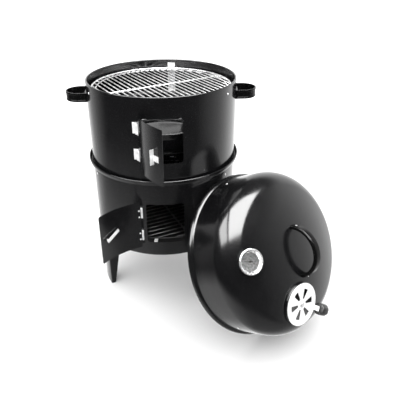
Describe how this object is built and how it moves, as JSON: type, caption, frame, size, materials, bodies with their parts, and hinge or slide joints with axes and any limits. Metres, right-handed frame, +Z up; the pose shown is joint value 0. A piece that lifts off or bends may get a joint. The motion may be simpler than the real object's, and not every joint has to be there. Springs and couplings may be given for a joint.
{
  "type": "vertical water smoker",
  "caption": "Vertical charcoal water smoker in stacked black barrel sections on legs, with hinged doors, grates and bowls inside and its domed lid leaning on the side.",
  "frame": {"origin": "on the barrel's axis at floor level, midway between the three feet", "axes": "+Z up along the barrel; -Y is the front, where both door openings are; the lid leans on the front right, towards +X and -Y"},
  "size_m": [0.7051, 0.6504, 0.612],
  "materials": {
    "black_paint": "gloss",
    "handle_black": "satin",
    "bowl_enamel": "gloss",
    "chrome_wire": "polished",
    "plated_steel": "satin",
    "vent_plate": "satin",
    "steel_bright": "satin",
    "knob_plastic": "matte",
    "dial_face": "matte",
    "needle_paint": "matte",
    "lens_glass": "clear"
  },
  "bodies": {
    "lower_section": {"lower_barrel": "black_paint", "stacking_collar": "black_paint", "leg_1": "black_paint", "leg_2": "black_paint", "leg_3": "black_paint", "leg_screws": "plated_steel", "lower_grate_bracket_1": "plated_steel", "lower_grate_bracket_2": "plated_steel", "lower_grate_bracket_3": "plated_steel", "lower_bracket_rivets": "plated_steel", "bowl_brackets": "plated_steel", "lower_hinge_fixed_leaves": "plated_steel", "lower_hinge_pins": "plated_steel", "lower_hinge_wall_rivets": "plated_steel"},
    "lower_door": {"lower_door": "black_paint", "lower_hinge_door_leaves": "plated_steel", "lower_hinge_door_rivets": "plated_steel"},
    "lower_latch": {"lower_latch_lever": "plated_steel", "lower_latch_bar": "plated_steel", "lower_latch_pivot": "plated_steel"},
    "lower_grate": {"lower_grate": "chrome_wire"},
    "charcoal_bowl": {"charcoal_bowl": "bowl_enamel"},
    "charcoal_grate": {"charcoal_grate": "chrome_wire"},
    "upper_section": {"upper_barrel": "black_paint", "handle_left": "handle_black", "handle_right": "handle_black", "handle_screws": "plated_steel", "upper_grate_bracket_1": "plated_steel", "upper_grate_bracket_2": "plated_steel", "upper_grate_bracket_3": "plated_steel", "upper_bracket_rivets": "plated_steel", "upper_hinge_fixed_leaves": "plated_steel", "upper_hinge_pins": "plated_steel", "upper_hinge_wall_rivets": "plated_steel"},
    "upper_door": {"upper_door": "black_paint", "upper_hinge_door_leaves": "plated_steel", "upper_hinge_door_rivets": "plated_steel"},
    "upper_latch": {"upper_latch_lever": "plated_steel", "upper_latch_bar": "plated_steel", "upper_latch_pivot": "plated_steel"},
    "cooking_grate": {"upper_grate": "chrome_wire"},
    "water_bowl": {"water_bowl": "bowl_enamel"},
    "lid": {"lid_shell": "black_paint", "lid_rest_clips": "plated_steel", "lid_clip_rivets": "plated_steel", "lid_grip": "handle_black", "lid_grip_screws": "plated_steel", "vent_pivot": "plated_steel", "thermometer_case": "steel_bright", "thermometer_bezel": "steel_bright", "thermometer_dial": "dial_face", "thermometer_lens": "lens_glass", "thermometer_probe": "steel_bright", "thermometer_nut": "steel_bright"},
    "vent_damper": {"vent_disc": "vent_plate", "vent_arm": "vent_plate", "vent_knob": "knob_plastic"},
    "needle": {"thermometer_needle": "needle_paint"}
  },
  "joints": [
    {"name": "lower_door_hinge", "type": "hinge", "parent": "lower_section", "child": "lower_door", "pos_m": [-0.06089, -0.19428, 0.2705], "axis": [0, 0, -1], "range_deg": [-145, 20]},
    {"name": "lower_latch_turn", "type": "hinge", "parent": "lower_door", "child": "lower_latch", "pos_m": [-0.14517, -0.2515, 0.2655], "axis": [-0.7292, 0.6843, 0], "range_deg": [-155, 25]},
    {"name": "upper_section_lift", "type": "slide", "parent": "lower_section", "child": "upper_section", "axis": [0, 0, 1], "range_m": [0, 0.06]},
    {"name": "upper_door_hinge", "type": "hinge", "parent": "upper_section", "child": "upper_door", "pos_m": [-0.06089, -0.19428, 0.5025], "axis": [0, 0, -1], "range_deg": [-61, 97]},
    {"name": "upper_latch_turn", "type": "hinge", "parent": "upper_door", "child": "upper_latch", "pos_m": [-0.0128, -0.28408, 0.4975], "axis": [-0.7568, -0.6537, 0], "range_deg": [-180, 0]},
    {"name": "cooking_grate_lift", "type": "slide", "parent": "upper_section", "child": "cooking_grate", "axis": [0, 0, 1], "range_m": [0, 0.06]},
    {"name": "water_bowl_lift", "type": "slide", "parent": "upper_section", "child": "water_bowl", "axis": [0, 0, 1], "range_m": [0, 0.04]},
    {"name": "lower_grate_lift", "type": "slide", "parent": "lower_section", "child": "lower_grate", "axis": [0, 0, 1], "range_m": [0, 0.05]},
    {"name": "charcoal_bowl_lift", "type": "slide", "parent": "lower_section", "child": "charcoal_bowl", "axis": [0, 0, 1], "range_m": [0, 0.05]},
    {"name": "charcoal_grate_lift", "type": "slide", "parent": "charcoal_bowl", "child": "charcoal_grate", "axis": [0, 0, 1], "range_m": [0, 0.04]},
    {"name": "lid_tip", "type": "hinge", "parent": "lower_section", "child": "lid", "pos_m": [0.28818, -0.29173, 0.002], "axis": [0.7536, 0.6574, 0], "range_deg": [0, 32]},
    {"name": "vent_damper_turn", "type": "hinge", "parent": "lid", "child": "vent_damper", "pos_m": [0.31912, -0.38869, 0.15296], "axis": [0.5755, -0.7756, 0.2594], "range_deg": [0, 30]},
    {"name": "needle_sweep", "type": "hinge", "parent": "lid", "child": "needle", "pos_m": [0.18456, -0.3949, 0.29053], "axis": [-0.3231, 0.7903, -0.5207], "range_deg": [0, 250]}
  ]
}
